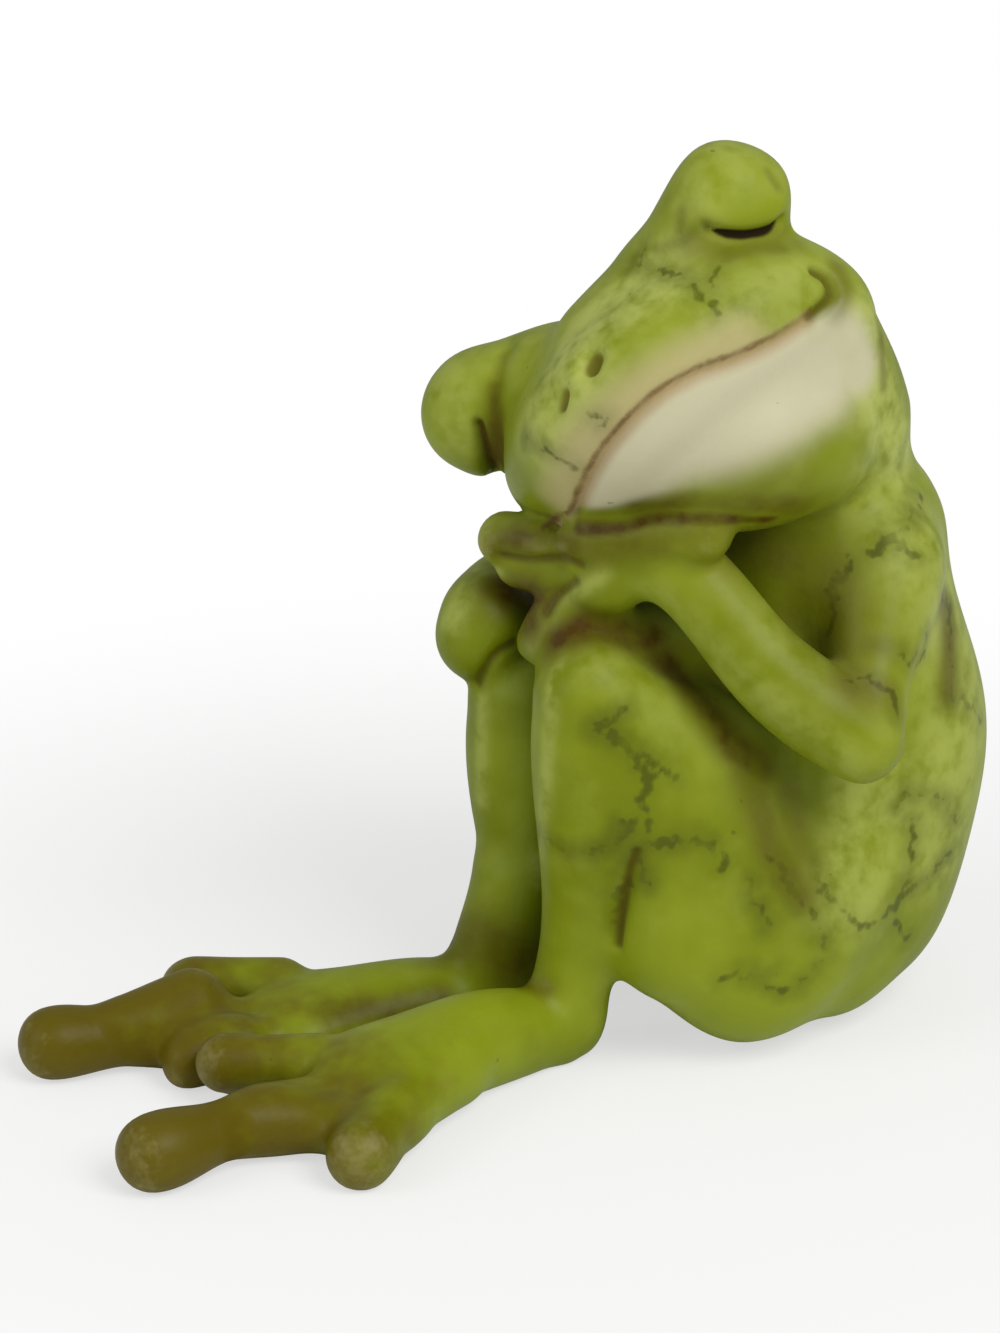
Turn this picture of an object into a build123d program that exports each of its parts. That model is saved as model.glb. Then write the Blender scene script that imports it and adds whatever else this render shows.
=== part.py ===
"""Sitting frog figurine: painted resin castings, pinned with steel dowels, on a felt pad.

The frog sits with its knees drawn up, lays both hands on its knees and rests its tipped head on them.
Millimetres, Z up. The frog looks along -Y and its left side is +X. The origin is on the shelf, under
the middle of the seat.
"""

from build123d import *
import os
from math import cos, radians, sin, sqrt

# What the figure stands on: a felt pad under the seat, and soles ground flat
PAD_THICKNESS = 1.2
SEAT_PAD_DIAMETER = 22
SOLE_FLAT_DEPTH = 0.8  # depth ground off each rounded sole

# Body: its height runs from the ground base to the flat top that the head stands on
BODY_HEIGHT = 89
BODY_WIDTH = 53
BODY_DEPTH = 57
BODY_WALL = 7
FILL_HOLE_DIAMETER = 15

# Head casting
HEAD_WIDTH = 64
HEAD_HEIGHT = 34
HEAD_LENGTH = 54
HEAD_TURN = 40.5  # degrees that the frog looks towards its left
HEAD_TIP = 43  # degrees that the head leans over towards its right
HEAD_REACH = 30  # head centre forward of the seat centre
HEAD_SIDESTEP = 2.7  # head centre to the left of the middle plane
HEAD_RISE = 19  # head centre above the body's flat top
THROAT_DIAMETER = 31
JOWL_DIAMETER = 29
EYE_DIAMETER = 21
EYE_SPACING = 57
EYE_RISE = 15.4
EYE_SETBACK = 2.7
MOUTH_DROP = 5.2  # mouth line below the head centre
MOUTH_GAPE = 1.8
MOUTH_DEPTH = 1.6
NOSTRIL_DIAMETER = 3.4
NOSTRIL_SPACING = 8.6

# Legs
KNEE_GAP = 3.4  # between the insides of the two legs
KNEE_DIAMETER = 19
THIGH_THICKNESS = 27
THIGH_DEPTH = 36
HIP_SPREAD = 38
HIP_REACH = 15
SHANK_DIAMETER = 17.2
HEEL_DIAMETER = 13.4
HEEL_LEAD = 3  # heel forward of the knee
LEFT_KNEE_DROP = 18.2  # top of the knee below the body's flat top
LEFT_KNEE_REACH = 45.5
RIGHT_KNEE_DROP = 25.8
RIGHT_KNEE_REACH = 46.5

# Feet
FOOT_LENGTH = 77  # heel centre to the centre of the middle toe tip
FOOT_WIDTH = 23
LEFT_FOOT_HEIGHT = 16
RIGHT_FOOT_HEIGHT = 12.5
LEFT_TURNOUT = 11  # degrees that each foot points away from straight ahead
RIGHT_TURNOUT = 8
TOE_DIAMETER = 10.4
TOE_TIP_DIAMETER = 12.8
SIDE_TOE_DIAMETER = 9.8
OUTER_TOE_REACH = 51.5
OUTER_TOE_SPLAY = 17
LEFT_INNER_TOE_REACH = 50.5
LEFT_INNER_TOE_SPLAY = 20.5
RIGHT_INNER_TOE_REACH = 57.5
RIGHT_INNER_TOE_SPLAY = 9.5

# Arms
ELBOW_DROP = 32.4  # elbow below the body's flat top
ARM_DIAMETER = 13.6
SHOULDER_DIAMETER = 17
WRIST_DIAMETER = 12.4
FINGER_DIAMETER = 6.6
HAND_WIDTH = 15
HAND_LENGTH = 21

# Steel dowels and the glue round them
PIN_DIAMETER = 3
PIN_LENGTH = 12
GLUE_GAP = 0.1

# Length by which every cutting solid runs past what it cuts
OVERRUN = 40

# Body sections from base to neck: height, set-back, width and depth, as shares of the body's sizes
body_shares = [
    (0.000, 0.000, 0.46, 0.42),
    (0.043, -0.010, 0.69, 0.64),
    (0.123, -0.015, 0.89, 0.83),
    (0.256, 0.002, 0.98, 0.94),
    (0.469, 0.037, 1.00, 0.99),
    (0.593, 0.030, 0.98, 0.96),
    (0.840, -0.010, 0.84, 0.80),
    (1.000, -0.008, 0.69, 0.62),
]

# Head sections from nape to snout: place, width, height and rise, as shares of the head's sizes
head_tip_share = 0.50
head_rise_share = -0.02
head_shares = [
    (-0.455, 0.40, 0.52, -0.03),
    (-0.340, 0.73, 0.82, -0.02),
    (-0.170, 0.95, 0.99, -0.01),
    (0.000, 1.00, 1.00, -0.01),
    (0.165, 0.89, 0.91, -0.02),
    (0.315, 0.67, 0.76, -0.02),
    (0.425, 0.42, 0.56, -0.02),
    (0.478, 0.22, 0.33, -0.02),
]
nostril_place_shares = (0.415, 0.20)  # of the head's length and height
eye_shares = [(0.50, 1.12), (0.74, 1.04), (0.94, 0.94)]  # way out to the eye, and width of its mound
# Throat from the body's top up into the jaw: left, forward and up as shares of half the head's width, the
# head's reach and the head's rise, then thickness, and how far it has turned from upright to level
throat_shares = [
    (0.14, 0.14, 0.47, 0.98, 0.25),
    (0.30, 0.33, 0.86, 0.95, 0.50),
    (0.38, 0.56, 1.08, 0.88, 0.75),
    (0.40, 0.80, 1.12, 0.80, 0.90),
]
# Jowl that fills the jaw out down to the hands: places as on the throat, then thickness
jowl_shares = [(0.50, 0.52, 0.66, 0.94), (0.50, 0.76, 0.66, 0.98), (0.44, 1.02, 0.72, 0.90)]
mouth_corner_share = -0.10  # of the head's length, back from its centre

# Caps that round off the end of a limb: reach and width as shares of the end radius
cap_shares = [(0.5, 0.866), (0.866, 0.5)]

# Thigh sections from hip to knee: place on the way, thickness and depth as shares of the thigh's sizes
thigh_shares = [(0.0, 1.00, 1.06), (0.35, 0.97, 1.12), (0.70, 0.86, 0.98)]
hip_height_share = 0.29  # of the knee height
shank_middle_share = 0.52  # height of the slimmest place, of the knee height
ankle_rise_share = 1.05  # of the heel diameter
shank_top_share = 0.97  # of the knee's thickness
ankle_back_share = 0.4  # of the heel's lead over the knee
ankle_share = 0.94  # of the heel's thickness

# Foot sections: place along the foot, width and height, as shares of the foot's sizes
foot_shares = [(0.00, 0.44, 0.72), (0.23, 0.71, 1.00), (0.38, 0.86, 0.95), (0.53, 0.98, 0.86)]
toe_root_shares = (0.46, 0.20)  # along the foot's length and out from its axis, of its width
toe_middle_share = 0.5
toe_neck_share = 0.88  # of the side toes' tips

# Places on the arms: out from the middle, forward, and down from the body's flat top, as shares of half the
# body's width, the left knee's reach and the elbow's drop
elbow_share = 0.95  # of the arm's thickness
shoulder_shares = (0.76, -0.04, 0.32)
elbow_shares = (1.33, 0.24, 1.00)
left_forearm_shares = (0.98, 0.53, 0.62)
left_wrist_shares = (0.50, 0.76, 0.22)
left_palm_shares = (0.26, 0.93, 0.28)
right_forearm_shares = (1.12, 0.62, 0.795)
right_wrist_shares = (0.78, 0.98, 0.59)
right_palm_shares = (0.60, 1.12, 0.77)
left_finger_shares = [
    [(0.24, 0.95, 0.36), (0.08, 1.07, 0.52), (-0.03, 1.09, 0.68)],
    [(0.22, 0.96, 0.26), (0.02, 1.06, 0.17), (-0.24, 1.14, 0.16)],
    [(0.22, 0.96, 0.31), (0.02, 1.07, 0.32), (-0.20, 1.12, 0.33)],
]


body_top = PAD_THICKNESS + BODY_HEIGHT


def place(shares, side):
    """A point beside the body from its shares, on the frog's left (side 1) or right (side -1)."""
    out, forward, down = shares
    x = side * out * BODY_WIDTH / 2
    return Vector(x, -forward * LEFT_KNEE_REACH, body_top - down * ELBOW_DROP)


def ovals(stations, across):
    """Oval faces square to the path through the stations, each a point with its two radii."""
    points = [Vector(point) for point, _, _ in stations]
    faces = []
    for index, (_, radius_across, radius_along) in enumerate(stations):
        before = points[max(index - 1, 0)]
        after = points[min(index + 1, len(points) - 1)]
        section = Plane(origin=points[index], x_dir=across, z_dir=after - before)
        with BuildSketch(section) as oval:
            Ellipse(radius_across, radius_along)
        faces.append(oval.sketch)
    return faces


def limb(stations, across):
    """A smooth limb through oval sections, rounded off at both ends."""
    first, second = Vector(stations[0][0]), Vector(stations[1][0])
    last, ahead = Vector(stations[-1][0]), Vector(stations[-2][0])
    start_way = (first - second).normalized()
    end_way = (last - ahead).normalized()
    start_reach = min(stations[0][1:])
    end_reach = min(stations[-1][1:])
    capped = list(stations)
    for reach, width in cap_shares:
        start = first + start_way * (reach * start_reach)
        end = last + end_way * (reach * end_reach)
        capped.insert(0, (start, stations[0][1] * width, stations[0][2] * width))
        capped.append((end, stations[-1][1] * width, stations[-1][2] * width))
    start_tip = Vertex(*(first + start_way * start_reach))
    end_tip = Vertex(*(last + end_way * end_reach))
    with BuildPart() as built:
        loft(sections=[start_tip, *ovals(capped, across), end_tip])
    return built.part


def body_form(inset, start, end):
    """The body's shape between two of its sections, its sides moved in by the inset."""
    faces = []
    for height, back, width, depth in body_shares[start:end]:
        level = PAD_THICKNESS + height * BODY_HEIGHT
        section = Plane(origin=(0, back * BODY_DEPTH, level))
        with BuildSketch(section) as oval:
            Ellipse(width * BODY_WIDTH / 2 - inset, depth * BODY_DEPTH / 2 - inset)
        faces.append(oval.sketch)
    with BuildPart() as built:
        loft(sections=faces)
    return built.part


def body_side(height, forward):
    """How far the body's side stands from the middle plane at a height and a place along it."""
    level = (height - PAD_THICKNESS) / BODY_HEIGHT
    for lower, upper in zip(body_shares, body_shares[1:]):
        if lower[0] <= level <= upper[0]:
            way = (level - lower[0]) / (upper[0] - lower[0])
            back, width, depth = [a + way * (b - a) for a, b in zip(lower[1:], upper[1:])]
    across = (-forward - back * BODY_DEPTH) / (depth * BODY_DEPTH / 2)
    return width * BODY_WIDTH / 2 * sqrt(1 - across * across)


# Body: the outer shape, its hollow and the places that the other castings are pinned to
body_skin = body_form(0, 0, None)
body_hollow = body_form(BODY_WALL, 2, -1)
_, top_back, top_width, top_depth = body_shares[-1]
neck_seam = Vector(0, top_back * BODY_DEPTH, body_top)

# Head frame: x to the head's own left, y to its crown, z out through its snout
turn = radians(HEAD_TURN)
tip = radians(HEAD_TIP)
snout_way = Vector(sin(turn), -cos(turn), 0)
level_left = Vector(cos(turn), sin(turn), 0)
head_left = level_left * cos(tip) + Vector(0, 0, 1) * sin(tip)
head_centre = Vector(HEAD_SIDESTEP, -HEAD_REACH, body_top + HEAD_RISE)
head_plane = Plane(origin=head_centre, x_dir=head_left, z_dir=snout_way)


def head_form(inset):
    """The head's shape without its eyes, its sides moved in by the inset."""
    faces = []
    for along, width, height, rise in head_shares:
        with BuildSketch(head_plane.offset(along * HEAD_LENGTH)) as oval:
            with Locations((0, rise * HEAD_HEIGHT)):
                Ellipse(width * HEAD_WIDTH / 2 - inset, height * HEAD_HEIGHT / 2 - inset)
        faces.append(oval.sketch)
    reach = head_tip_share * HEAD_LENGTH - inset
    rise = head_rise_share * HEAD_HEIGHT
    nape = Vertex(*head_plane.from_local_coords((0, rise, -reach)))
    snout = Vertex(*head_plane.from_local_coords((0, rise, reach)))
    with BuildPart() as built:
        loft(sections=[nape, *faces, snout])
    return built.part


def throat_place(out, forward, up):
    """A point of the throat from its shares."""
    return Vector(out * HEAD_WIDTH / 2, -forward * HEAD_REACH, body_top + up * HEAD_RISE)


def jowl_form():
    """The full jowl on the side that the head leans away from."""
    stations = []
    for out, forward, up, width in jowl_shares:
        radius = width * JOWL_DIAMETER / 2
        stations.append((throat_place(out, forward, up), radius, radius))
    return limb(stations, (1, 0, 0))


def throat_form():
    """The throat, from the oval of the body's flat top up into the jaw."""
    with BuildSketch(Plane(origin=neck_seam)) as collar:
        Ellipse(top_width * BODY_WIDTH / 2, top_depth * BODY_DEPTH / 2)
    sections = [collar.sketch]
    for out, forward, up, width, turned in throat_shares:
        way = Vector(0, -turned, 1 - turned)
        with BuildSketch(Plane(origin=throat_place(out, forward, up), x_dir=(1, 0, 0), z_dir=way)) as ring:
            Circle(width * THROAT_DIAMETER / 2)
        sections.append(ring.sketch)
    with BuildPart() as built:
        loft(sections=sections)
    return built.part


# Mouth: a thin slot that stops at the jaw's core, so it is as deep all along the lips
head_skin = head_form(0)
jaw_core = head_form(MOUTH_DEPTH)
with BuildPart() as mouth_slot:
    with BuildSketch(head_plane.offset(mouth_corner_share * HEAD_LENGTH)):
        with Locations((0, -MOUTH_DROP)):
            Rectangle(HEAD_WIDTH + OVERRUN, MOUTH_GAPE)
    extrude(amount=HEAD_LENGTH)
    add(jaw_core, mode=Mode.SUBTRACT)


def sole_rise(radius):
    """Height of a rounded sole's centre line above the shelf, once its flat is ground."""
    return radius - SOLE_FLAT_DEPTH


def heel_point(side, knee_reach):
    """The middle of a heel, over its ground flat."""
    heel_radius = HEEL_DIAMETER / 2
    return Vector(side * (KNEE_GAP / 2 + heel_radius), -knee_reach - HEEL_LEAD, sole_rise(heel_radius))


def leg_form(side, knee_height, knee_reach):
    """A folded leg: thigh up to the knee, shank down to the heel."""
    knee_radius = KNEE_DIAMETER / 2
    heel_radius = HEEL_DIAMETER / 2
    shank_radius = SHANK_DIAMETER / 2
    inside = KNEE_GAP / 2
    knee = Vector(side * (inside + knee_radius), -knee_reach, knee_height - knee_radius)
    hip = Vector(side * HIP_SPREAD / 2, -HIP_REACH, hip_height_share * knee_height)
    thigh = []
    for way, thickness, depth in thigh_shares:
        centre = hip + (knee - hip) * way
        thigh.append((centre, thickness * THIGH_THICKNESS / 2, depth * THIGH_DEPTH / 2))
    thigh.append((knee, knee_radius, knee_radius))
    middle = Vector(knee.X, -knee_reach, shank_middle_share * knee_height)
    heel = heel_point(side, knee_reach)
    ankle = Vector(heel.X, heel.Y + ankle_back_share * HEEL_LEAD, ankle_rise_share * HEEL_DIAMETER)
    shank_top = shank_top_share * knee_radius
    ankle_radius = ankle_share * heel_radius
    shank = [
        (knee, shank_top, shank_top),
        (middle, shank_radius, shank_radius),
        (ankle, ankle_radius, ankle_radius),
        (heel, heel_radius, heel_radius),
    ]
    with BuildPart() as built:
        add(limb(thigh, (1, 0, 0)))
        add(limb(shank, (1, 0, 0)))
    return built.part


def foot_place(foot, along, out):
    """The spot on the shelf that lies so far along a foot from its heel, and so far out from its axis."""
    heel = heel_point(foot["side"], foot["knee_reach"])
    angle = radians(foot["turnout"])
    forward = Vector(foot["side"] * sin(angle), -cos(angle), 0)
    sideways = Vector(foot["side"] * cos(angle), sin(angle), 0)
    return Vector(heel.X, heel.Y, 0) + forward * along + sideways * out


def toe_tips(foot):
    """Centres and radii of the three toe tips: middle, outer and inner."""
    tips = []
    for along, out, diameter in (
        (FOOT_LENGTH, 0, TOE_TIP_DIAMETER),
        (OUTER_TOE_REACH, OUTER_TOE_SPLAY, SIDE_TOE_DIAMETER),
        (foot["inner_reach"], -foot["inner_splay"], SIDE_TOE_DIAMETER),
    ):
        rise = Vector(0, 0, sole_rise(diameter / 2))
        tips.append((foot_place(foot, along, out) + rise, diameter / 2))
    return tips


def foot_form(foot):
    """A foot with three round-tipped toes, from inside the heel to the toe tips."""
    up = Vector(0, 0, 1)
    sideways = foot_place(foot, 0, FOOT_WIDTH) - foot_place(foot, 0, 0)
    instep = []
    for along, width, height in foot_shares:
        half_height = height * foot["foot_height"] / 2
        centre = foot_place(foot, along * FOOT_LENGTH, 0) + up * sole_rise(half_height)
        instep.append((centre, width * FOOT_WIDTH / 2, half_height))
    root_along = toe_root_shares[0] * FOOT_LENGTH
    root_out = toe_root_shares[1] * FOOT_WIDTH
    root_rise = up * sole_rise(foot_shares[-1][2] * foot["foot_height"] / 2)
    side_neck = toe_neck_share * SIDE_TOE_DIAMETER / 2
    necks = ((TOE_DIAMETER / 2, 0), (side_neck, root_out), (side_neck, -root_out))
    with BuildPart() as built:
        add(limb(instep, sideways))
        for (tip_centre, tip_radius), (neck, out) in zip(toe_tips(foot), necks):
            root = foot_place(foot, root_along, out) + root_rise
            middle = root + (tip_centre - root) * toe_middle_share
            add(limb([(root, neck, neck), (middle, neck, neck), (tip_centre, tip_radius, tip_radius)], up))
    return built.part


def arm_form(side, forearm_places, fingers):
    """A bent arm: upper arm down to the elbow, forearm up to the hand, with any fingers."""
    shoulder = place(shoulder_shares, side)
    elbow = place(elbow_shares, side)
    arm_radius = ARM_DIAMETER / 2
    shoulder_radius = SHOULDER_DIAMETER / 2
    elbow_radius = elbow_share * arm_radius
    finger_radius = FINGER_DIAMETER / 2
    upper_arm = [
        (shoulder, shoulder_radius, shoulder_radius),
        ((shoulder + elbow) / 2, arm_radius, arm_radius),
        (elbow, elbow_radius, elbow_radius),
    ]
    forearm = [(elbow, arm_radius, arm_radius)]
    for shares, across, along in forearm_places:
        forearm.append((place(shares, side), across, along))
    with BuildPart() as built:
        add(limb(upper_arm, (0, 1, 0)))
        add(limb(forearm, (0, 0, 1)))
        for finger in fingers:
            add(limb([(place(shares, side), finger_radius, finger_radius) for shares in finger], (0, 0, 1)))
    return built.part


def dowel(middle, way, gap):
    """A dowel across a seam, or with a glue gap the socket that takes it."""
    with BuildPart(Plane(origin=middle, z_dir=way)) as rod:
        Cylinder(PIN_DIAMETER / 2 + gap, PIN_LENGTH + 2 * gap)
    return rod.part


sides = {
    "left": {
        "side": 1,
        "knee_height": body_top - LEFT_KNEE_DROP,
        "knee_reach": LEFT_KNEE_REACH,
        "turnout": LEFT_TURNOUT,
        "foot_height": LEFT_FOOT_HEIGHT,
        "inner_reach": LEFT_INNER_TOE_REACH,
        "inner_splay": LEFT_INNER_TOE_SPLAY,
        "forearm": [
            (left_forearm_shares, ARM_DIAMETER / 2, ARM_DIAMETER / 2),
            (left_wrist_shares, WRIST_DIAMETER / 2, WRIST_DIAMETER / 2),
            (left_palm_shares, HAND_WIDTH / 2, WRIST_DIAMETER / 2),
        ],
        "fingers": left_finger_shares,
    },
    "right": {
        "side": -1,
        "knee_height": body_top - RIGHT_KNEE_DROP,
        "knee_reach": RIGHT_KNEE_REACH,
        "turnout": RIGHT_TURNOUT,
        "foot_height": RIGHT_FOOT_HEIGHT,
        "inner_reach": RIGHT_INNER_TOE_REACH,
        "inner_splay": RIGHT_INNER_TOE_SPLAY,
        "forearm": [
            (right_forearm_shares, ARM_DIAMETER / 2, ARM_DIAMETER / 2),
            (right_wrist_shares, WRIST_DIAMETER / 2, WRIST_DIAMETER / 2),
            (right_palm_shares, HAND_LENGTH / 2, HAND_WIDTH / 2),
        ],
        "fingers": [],
    },
}

# Where the dowels cross the seams: a middle point and a direction for each
seams = {"neck": (neck_seam, Vector(0, 0, 1))}
for name, limbs in sides.items():
    shoulder = place(shoulder_shares, limbs["side"])
    shoulder_side = limbs["side"] * body_side(shoulder.Z, -shoulder.Y)
    seams[name + "_shoulder"] = (Vector(shoulder_side, shoulder.Y, shoulder.Z), Vector(1, 0, 0))
    hip_height = hip_height_share * limbs["knee_height"]
    hip_side = limbs["side"] * body_side(hip_height, HIP_REACH)
    seams[name + "_hip"] = (Vector(hip_side, -HIP_REACH, hip_height), Vector(1, 0, 0))
    heel = heel_point(limbs["side"], limbs["knee_reach"])
    ankle = foot_place(limbs, HEEL_DIAMETER / 2, 0) + Vector(0, 0, heel.Z)
    seams[name + "_ankle"] = (ankle, ankle - heel)

pins = {name: dowel(middle, way, 0) for name, (middle, way) in seams.items()}
sockets = {name: dowel(middle, way, GLUE_GAP) for name, (middle, way) in seams.items()}

os.makedirs("parts", exist_ok=True)


def hand_over(node, piece):
    """Label a finished piece and write it out under its name."""
    piece.label = node
    export_step(piece, f"parts/{node}.step")


# Body casting: hollow, with the fill hole in its base
with BuildPart() as torso_shell:
    add(body_skin)
    add(body_hollow, mode=Mode.SUBTRACT)
    with BuildSketch(Plane.XY):
        Circle(FILL_HOLE_DIAMETER / 2)
    extrude(amount=PAD_THICKNESS + body_shares[3][0] * BODY_HEIGHT, mode=Mode.SUBTRACT)
    for name in ("neck", "left_shoulder", "right_shoulder", "left_hip", "right_hip"):
        add(sockets[name], mode=Mode.SUBTRACT)
hand_over("torso_shell", torso_shell.part)

# Stopper in the fill hole, flush with the base, and the felt disc that covers it
with BuildPart() as base_plug:
    with BuildSketch(Plane.XY.offset(PAD_THICKNESS)):
        Circle(FILL_HOLE_DIAMETER / 2 - GLUE_GAP)
    extrude(amount=BODY_WALL)
hand_over("base_plug", base_plug.part)

with BuildPart() as seat_pad:
    with BuildSketch(Plane.XY):
        Circle(SEAT_PAD_DIAMETER / 2)
    extrude(amount=PAD_THICKNESS)
hand_over("seat_pad", seat_pad.part)

# Head casting with the throat: stands on the body's flat top, each eye a mound that rises out of the skull
with BuildPart() as head:
    add(throat_form())
    add(jowl_form())
    add(head_skin)
    for eye_side in (1, -1):
        mound = []
        for way, width in eye_shares:
            out = eye_side * way * EYE_SPACING / 2
            centre = head_plane.from_local_coords((out, way * EYE_RISE, -EYE_SETBACK))
            mound.append((centre, width * EYE_DIAMETER / 2, width * EYE_DIAMETER / 2))
        add(limb(mound, snout_way))
        along, rise = nostril_place_shares
        beside = eye_side * NOSTRIL_SPACING / 2
        with Locations(head_plane.from_local_coords((beside, rise * HEAD_HEIGHT, along * HEAD_LENGTH))):
            Sphere(NOSTRIL_DIAMETER / 2, mode=Mode.SUBTRACT)
    add(mouth_slot.part, mode=Mode.SUBTRACT)
    add(sockets["neck"], mode=Mode.SUBTRACT)
hand_over("head", head.part)

legs = {}
feet = {}
arms = {}
for name, limbs in sides.items():
    with BuildPart() as leg:
        add(leg_form(limbs["side"], limbs["knee_height"], limbs["knee_reach"]))
        split(bisect_by=Plane.XY, keep=Keep.TOP)
        add(body_skin, mode=Mode.SUBTRACT)
        add(head.part, mode=Mode.SUBTRACT)
        add(sockets[name + "_hip"], mode=Mode.SUBTRACT)
        add(sockets[name + "_ankle"], mode=Mode.SUBTRACT)
    legs[name] = leg.part
    hand_over(name + "_leg", leg.part)

for name, limbs in sides.items():
    with BuildPart() as foot:
        add(foot_form(limbs))
        split(bisect_by=Plane.XY, keep=Keep.TOP)
        for earlier in (*legs.values(), *feet.values()):
            add(earlier, mode=Mode.SUBTRACT)
        add(sockets[name + "_ankle"], mode=Mode.SUBTRACT)
    feet[name] = foot.part
    hand_over(name + "_foot", foot.part)

for name, limbs in sides.items():
    with BuildPart() as arm:
        add(arm_form(limbs["side"], limbs["forearm"], limbs["fingers"]))
        for earlier in (body_skin, head.part, *legs.values(), *arms.values()):
            add(earlier, mode=Mode.SUBTRACT)
        add(sockets[name + "_shoulder"], mode=Mode.SUBTRACT)
    arms[name] = arm.part
    hand_over(name + "_arm", arm.part)

for name, pin in pins.items():
    hand_over(name + "_pin", pin)
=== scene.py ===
# %% [markdown]
# # A sitting frog in painted resin
# The real figure is cast in pieces that are pinned, glued and filled, then airbrushed green, veined with a
# fine brush, rubbed with a brown wash and lacquered. The CAD frame holds those pieces as plain castings.
# This lesson wraps them in one filled skin, models the face and hands into it, paints it and then cuts
# it back into the castings, so every piece keeps its own object.

# %% Load the frame
import math

import bmesh
import bpy
import numpy as np
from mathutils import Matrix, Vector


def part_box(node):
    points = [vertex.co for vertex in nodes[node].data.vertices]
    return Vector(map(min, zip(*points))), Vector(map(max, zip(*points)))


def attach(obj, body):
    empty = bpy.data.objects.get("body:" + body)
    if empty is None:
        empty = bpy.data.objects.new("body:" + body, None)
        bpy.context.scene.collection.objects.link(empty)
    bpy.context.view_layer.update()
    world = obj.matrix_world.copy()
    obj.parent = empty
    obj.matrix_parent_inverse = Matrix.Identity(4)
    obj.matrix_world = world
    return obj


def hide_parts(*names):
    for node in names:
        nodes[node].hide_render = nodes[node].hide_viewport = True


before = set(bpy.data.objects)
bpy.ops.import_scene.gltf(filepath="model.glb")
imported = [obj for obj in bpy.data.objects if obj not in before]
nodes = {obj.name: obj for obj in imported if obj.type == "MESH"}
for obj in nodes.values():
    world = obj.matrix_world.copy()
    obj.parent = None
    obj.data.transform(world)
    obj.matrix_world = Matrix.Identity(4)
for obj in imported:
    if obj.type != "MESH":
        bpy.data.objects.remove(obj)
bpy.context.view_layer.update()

import openvdb
from mathutils import Matrix, Vector
from mathutils.bvhtree import BVHTree

MM = 0.001
print("castings and fittings:", sorted(nodes))

# %% [markdown]
# ## The camera
# A photograph of a small ornament is taken with a long lens from a little above. The view was found by
# matching the seat, the toes, the eyes and the mouth: the frog is seen from its left front. The same numbers
# turn a pixel of the photograph into a ray, which later lets a brush stroke land where the picture shows it.

# %% Stand the camera where the photograph was taken
PHOTO_WIDTH, PHOTO_HEIGHT = 1000, 1333
SEAT_PIXEL = (800, 980)  # where the middle of the seat meets the shelf
FOCAL_PIXELS = 3636
SEAT_DISTANCE = 618  # millimetres along the lens axis
VIEW_AZIMUTH = math.radians(65)
VIEW_ELEVATION = math.radians(20)
SENSOR = 36

right = np.array((math.cos(VIEW_AZIMUTH), math.sin(VIEW_AZIMUTH), 0.0))
toward = np.array((
    math.sin(VIEW_AZIMUTH) * math.cos(VIEW_ELEVATION),
    -math.cos(VIEW_AZIMUTH) * math.cos(VIEW_ELEVATION),
    math.sin(VIEW_ELEVATION),
))
up = np.cross(toward, right)


def pixel_ray(pixel):
    """The direction from the lens through a pixel of the photograph."""
    x = (pixel[0] - PHOTO_WIDTH / 2) / FOCAL_PIXELS
    y = (PHOTO_HEIGHT / 2 - pixel[1]) / FOCAL_PIXELS
    return x * right + y * up - toward


lens_point = -SEAT_DISTANCE * pixel_ray(SEAT_PIXEL)
camera_data = bpy.data.cameras.new("photo_camera")
camera_data.sensor_fit = "VERTICAL"
camera_data.sensor_height = SENSOR
camera_data.lens = SENSOR * FOCAL_PIXELS / PHOTO_HEIGHT
camera = bpy.data.objects.new("photo_camera", camera_data)
pose = np.eye(4)
pose[:3, :3] = np.column_stack((right, up, toward))
pose[:3, 3] = lens_point * MM
camera.matrix_world = Matrix(pose.tolist())
bpy.context.scene.collection.objects.link(camera)
bpy.context.scene.camera = camera
print("camera at", lens_point.round(1), "mm, lens", round(camera_data.lens, 1), "mm")

# %% [markdown]
# ## From castings to clay
# A distance field stores, at each point of a grid, how far the nearest surface is. Fields can be melted
# together with a soft minimum, which fills a seam the way a modeller fills it with putty. The field of each
# casting is made from its CAD mesh, so the clay is the size of the part from the start.

# %% Measure each casting as a distance field
VOXEL = 0.6
BAND = 9.0  # millimetres of distance kept on each side of a surface
MARGIN = 4.0
corners = np.array([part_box(name) for name in nodes]) / MM
grid_low = np.floor((corners[:, 0].min(0) - MARGIN) / VOXEL).astype(int)
grid_high = np.ceil((corners[:, 1].max(0) + MARGIN) / VOXEL).astype(int)
grid_shape = tuple(grid_high - grid_low + 1)
grid_corner = tuple(int(i) for i in grid_low)
grid_axes = [((np.arange(n) + low) * VOXEL).astype(np.float32) for n, low in zip(grid_shape, grid_low)]
to_grid = openvdb.createLinearTransform(voxelSize=VOXEL)


def blurred(field, radius):
    """The field after a soft blur, which rounds its edges and corners."""
    reach = int(math.ceil(2.5 * radius / VOXEL))
    steps = np.arange(-reach, reach + 1)
    weights = np.exp(-0.5 * (steps * VOXEL / radius) ** 2)
    weights = (weights / weights.sum()).astype(np.float32)
    for axis in range(3):
        edges = [(reach, reach) if a == axis else (0, 0) for a in range(3)]
        wide = np.pad(field, edges, mode="edge")
        field = np.zeros_like(field)
        for step, weight in zip(steps, weights):
            window = [slice(None)] * 3
            window[axis] = slice(reach + step, reach + step + field.shape[axis])
            field += weight * wide[tuple(window)]
    return field


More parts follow.
